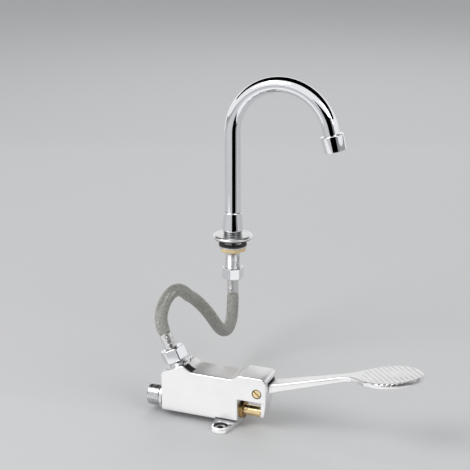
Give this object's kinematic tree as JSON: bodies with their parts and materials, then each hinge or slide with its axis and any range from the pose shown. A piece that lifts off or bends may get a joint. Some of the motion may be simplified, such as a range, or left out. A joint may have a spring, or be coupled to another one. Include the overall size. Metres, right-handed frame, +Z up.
{
  "type": "foot pedal tap",
  "caption": "Gooseneck spout on a deck fitting, fed by a short braided hose from a chrome foot valve whose sprung pedal pushes a brass plunger.",
  "frame": {"origin": "on the deck's top plane, at the axis of the deck shank", "axes": "+Z up the shank, +X the way the spout and the pedal reach, so the valve lies towards -Y"},
  "size_m": [0.2597, 0.1885, 0.2954],
  "materials": {
    "chrome": "mirror polished chrome plate on turned brass and tube",
    "cast_chrome": "chrome plate on a smoothed casting",
    "brass": "turned bare brass",
    "rubber": "matte black rubber",
    "steel": "bright stainless steel",
    "braid": "woven stainless wire sleeve",
    "plastic": "moulded acetal"
  },
  "bodies": {
    "base": {"spout_collar": "chrome", "swivel_ring": "plastic", "deck_shank": "chrome", "deck_flange": "chrome", "deck_gasket": "rubber", "clamp_washer": "rubber", "clamp_plate": "steel", "lock_nut": "brass", "hose_braid": "braid", "hose_liner": "rubber", "upper_ferrule": "steel", "upper_insert": "brass", "upper_nut": "chrome", "upper_gasket": "rubber", "lower_ferrule": "steel", "lower_insert": "brass", "lower_nut": "chrome", "lower_gasket": "rubber", "valve_body": "cast_chrome", "inlet_nipple": "chrome", "inlet_gasket": "rubber", "outlet_nipple": "chrome", "outlet_gasket": "rubber", "valve_seat": "brass", "return_spring": "steel", "gland_nut": "brass", "gland_o_rings": "rubber", "pivot_pin": "brass"},
    "spout": {"spout_tube": "chrome", "spout_tail": "brass", "tail_o_rings": "rubber", "aerator_shell": "chrome", "aerator_insert": "plastic", "aerator_screen": "steel", "aerator_washer": "rubber"},
    "stem": {"valve_stem": "brass", "disc_holder": "brass", "seal_disc": "rubber"},
    "pedal": {"pedal_lever": "cast_chrome", "pivot_bushes": "plastic"}
  },
  "joints": [
    {"name": "spout_swivel", "type": "hinge", "parent": "base", "child": "spout", "pos_m": [0, 0, 0], "axis": [0, 0, 1], "continuous": true},
    {"name": "pedal_hinge", "type": "hinge", "parent": "base", "child": "pedal", "pos_m": [0.0853, -0.14, -0.0906], "axis": [0, 1, 0], "range_deg": [0, 12], "stiffness_Nm_per_rad": 3.5, "springref_deg": -17.19},
    {"name": "stem_slide", "type": "slide", "parent": "base", "child": "stem", "axis": [-1, 0, 0], "range_m": [0, 0.005], "deforming": ["return_spring"]}
  ],
  "couplings": [
    {"joint": "stem_slide", "follows": "pedal_hinge", "m_per_rad": 0.0236}
  ]
}
